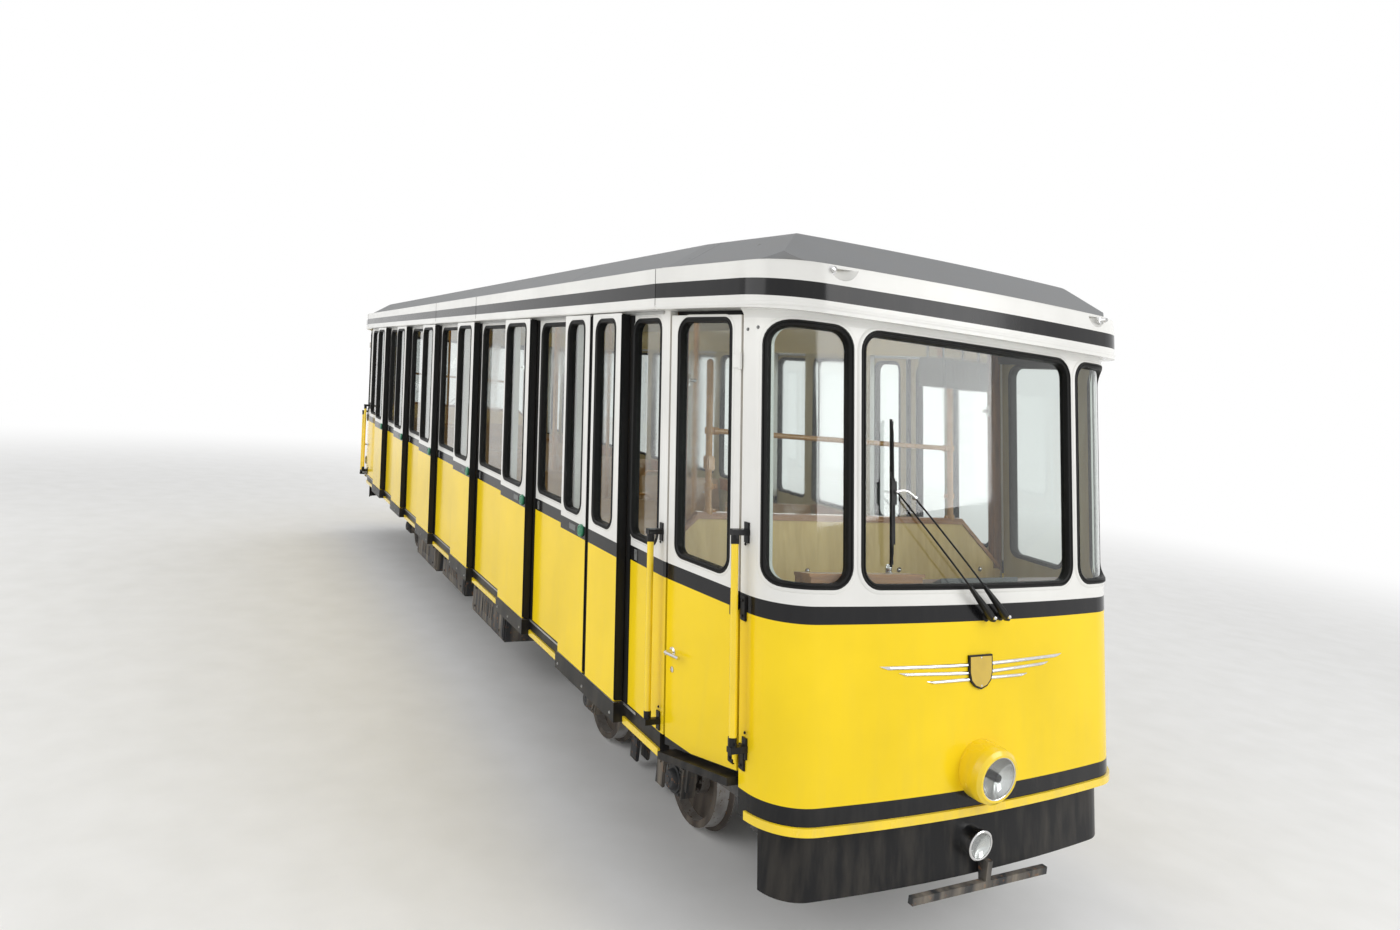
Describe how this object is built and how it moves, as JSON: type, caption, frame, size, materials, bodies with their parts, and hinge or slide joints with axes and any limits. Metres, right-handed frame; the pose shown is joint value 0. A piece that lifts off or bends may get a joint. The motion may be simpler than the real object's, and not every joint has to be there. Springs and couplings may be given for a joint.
{
  "type": "funicular car",
  "caption": "Passenger car of a steep cable railway, with stepped floor, leaning pillars, outside sliding doors and a driver's cab at each end.",
  "frame": {"origin": "middle of the car's bounding box on the level of the wheels' lowest points", "axes": "+X along the rails to the valley end, +Y to the car's left side, +Z square to the rails"},
  "size_m": [11.7765, 2.46, 3.245],
  "materials": {
    "body_paint": "gloss: yellow below, white above, with a black belt and foot band",
    "cornice_paint": "gloss white with a black stripe",
    "roof_paint": "matt dark grey",
    "yellow_paint": "gloss yellow",
    "black_paint": "satin black",
    "frame_paint": "matt dark grey",
    "wheel_steel": "dark steel with bright treads",
    "window_glass": "clear toughened glass",
    "floor_covering": "dark studded rubber",
    "seat_laminate": "varnished moulded plywood",
    "cabin_laminate": "cream laminate with wooden trim",
    "desk_laminate": "brown laminate",
    "ochre_paint": "gloss ochre powder coat",
    "lamp_chrome": "polished reflector behind clear glass"
  },
  "bodies": {
    "car": {"aprons": "black_paint", "benches": "seat_laminate", "cab_bulkheads": "cabin_laminate", "cab_rails": "ochre_paint", "cab_steps": "black_paint", "cornice_left": "cornice_paint", "cornice_nose": "cornice_paint", "cornice_right": "cornice_paint", "cornice_tail": "cornice_paint", "driver_desks": "desk_laminate", "fixed_glass": "window_glass", "floor_steps": "floor_covering", "grab_poles": "ochre_paint", "guard_bars": "frame_paint", "handrails": "yellow_paint", "haul_lugs": "frame_paint", "lamps": "lamp_chrome", "main_frame": "frame_paint", "nacelles": "yellow_paint", "nose_shell": "body_paint", "rail_brackets": "black_paint", "roof": "roof_paint", "side_panels_left": "body_paint", "side_panels_right": "body_paint", "side_sills": "black_paint", "stripes": "yellow_paint", "tail_shell": "body_paint", "wipers": "black_paint"},
    "bogie_1": {"bogie_1": "frame_paint"},
    "wheelset_1a": {"wheelset_1a": "wheel_steel"},
    "wheelset_1b": {"wheelset_1b": "wheel_steel"},
    "bogie_2": {"bogie_2": "frame_paint"},
    "wheelset_2a": {"wheelset_2a": "wheel_steel"},
    "wheelset_2b": {"wheelset_2b": "wheel_steel"},
    "cab_door_nose_right": {"cab_door_nose_right": "body_paint"},
    "cab_door_nose_left": {"cab_door_nose_left": "body_paint"},
    "cab_door_tail_right": {"cab_door_tail_right": "body_paint"},
    "cab_door_tail_left": {"cab_door_tail_left": "body_paint"},
    "leaf_right_1a": {"leaf_right_1a": "body_paint"},
    "leaf_left_1a": {"leaf_left_1a": "body_paint"},
    "leaf_right_1b": {"leaf_right_1b": "body_paint"},
    "leaf_left_1b": {"leaf_left_1b": "body_paint"},
    "leaf_right_2": {"leaf_right_2": "body_paint"},
    "leaf_left_2": {"leaf_left_2": "body_paint"},
    "leaf_right_3": {"leaf_right_3": "body_paint"},
    "leaf_left_3": {"leaf_left_3": "body_paint"},
    "leaf_right_4": {"leaf_right_4": "body_paint"},
    "leaf_left_4": {"leaf_left_4": "body_paint"},
    "leaf_right_5": {"leaf_right_5": "body_paint"},
    "leaf_left_5": {"leaf_left_5": "body_paint"},
    "leaf_right_6": {"leaf_right_6": "body_paint"},
    "leaf_left_6": {"leaf_left_6": "body_paint"}
  },
  "joints": [
    {"name": "bogie_1_pivot", "type": "hinge", "parent": "car", "child": "bogie_1", "pos_m": [3.5845, 0, 0.665], "axis": [0, 0, 1], "range_deg": [-4, 4]},
    {"name": "wheelset_1a_roll", "type": "hinge", "parent": "bogie_1", "child": "wheelset_1a", "pos_m": [4.2345, 0, 0.308], "axis": [0, 1, 0], "continuous": true},
    {"name": "wheelset_1b_roll", "type": "hinge", "parent": "bogie_1", "child": "wheelset_1b", "pos_m": [2.9345, 0, 0.308], "axis": [0, 1, 0], "continuous": true},
    {"name": "bogie_2_pivot", "type": "hinge", "parent": "car", "child": "bogie_2", "pos_m": [-3.0155, 0, 0.665], "axis": [0, 0, 1], "range_deg": [-4, 4]},
    {"name": "wheelset_2a_roll", "type": "hinge", "parent": "bogie_2", "child": "wheelset_2a", "pos_m": [-2.3655, 0, 0.308], "axis": [0, 1, 0], "continuous": true},
    {"name": "wheelset_2b_roll", "type": "hinge", "parent": "bogie_2", "child": "wheelset_2b", "pos_m": [-3.6655, 0, 0.308], "axis": [0, 1, 0], "continuous": true},
    {"name": "cab_door_nose_right_hinge", "type": "hinge", "parent": "car", "child": "cab_door_nose_right", "pos_m": [5.30694, -1.09179, 1.75], "axis": [-0.1772, 0, 0.9842], "range_deg": [0, 88]},
    {"name": "cab_door_nose_left_hinge", "type": "hinge", "parent": "car", "child": "cab_door_nose_left", "pos_m": [5.30694, 1.09179, 1.75], "axis": [0.1772, 0, -0.9842], "range_deg": [0, 88]},
    {"name": "cab_door_tail_right_hinge", "type": "hinge", "parent": "car", "child": "cab_door_tail_right", "pos_m": [-5.25706, -1.09179, 1.75], "axis": [0.1772, 0, -0.9842], "range_deg": [0, 88]},
    {"name": "cab_door_tail_left_hinge", "type": "hinge", "parent": "car", "child": "cab_door_tail_left", "pos_m": [-5.25706, 1.09179, 1.75], "axis": [-0.1772, 0, 0.9842], "range_deg": [0, 88]},
    {"name": "leaf_right_1a_slide", "type": "slide", "parent": "car", "child": "leaf_right_1a", "axis": [1, 0, 0], "range_m": [0, 0.385]},
    {"name": "leaf_left_1a_slide", "type": "slide", "parent": "car", "child": "leaf_left_1a", "axis": [1, 0, 0], "range_m": [0, 0.385]},
    {"name": "leaf_right_1b_slide", "type": "slide", "parent": "car", "child": "leaf_right_1b", "axis": [-1, 0, 0], "range_m": [0, 0.385]},
    {"name": "leaf_left_1b_slide", "type": "slide", "parent": "car", "child": "leaf_left_1b", "axis": [-1, 0, 0], "range_m": [0, 0.385]},
    {"name": "leaf_right_2_slide", "type": "slide", "parent": "car", "child": "leaf_right_2", "axis": [-1, 0, 0], "range_m": [0, 0.57]},
    {"name": "leaf_left_2_slide", "type": "slide", "parent": "car", "child": "leaf_left_2", "axis": [-1, 0, 0], "range_m": [0, 0.57]},
    {"name": "leaf_right_3_slide", "type": "slide", "parent": "car", "child": "leaf_right_3", "axis": [-1, 0, 0], "range_m": [0, 0.555]},
    {"name": "leaf_left_3_slide", "type": "slide", "parent": "car", "child": "leaf_left_3", "axis": [-1, 0, 0], "range_m": [0, 0.555]},
    {"name": "leaf_right_4_slide", "type": "slide", "parent": "car", "child": "leaf_right_4", "axis": [-1, 0, 0], "range_m": [0, 0.555]},
    {"name": "leaf_left_4_slide", "type": "slide", "parent": "car", "child": "leaf_left_4", "axis": [-1, 0, 0], "range_m": [0, 0.555]},
    {"name": "leaf_right_5_slide", "type": "slide", "parent": "car", "child": "leaf_right_5", "axis": [-1, 0, 0], "range_m": [0, 0.545]},
    {"name": "leaf_left_5_slide", "type": "slide", "parent": "car", "child": "leaf_left_5", "axis": [-1, 0, 0], "range_m": [0, 0.545]},
    {"name": "leaf_right_6_slide", "type": "slide", "parent": "car", "child": "leaf_right_6", "axis": [-1, 0, 0], "range_m": [0, 0.55]},
    {"name": "leaf_left_6_slide", "type": "slide", "parent": "car", "child": "leaf_left_6", "axis": [-1, 0, 0], "range_m": [0, 0.55]}
  ]
}
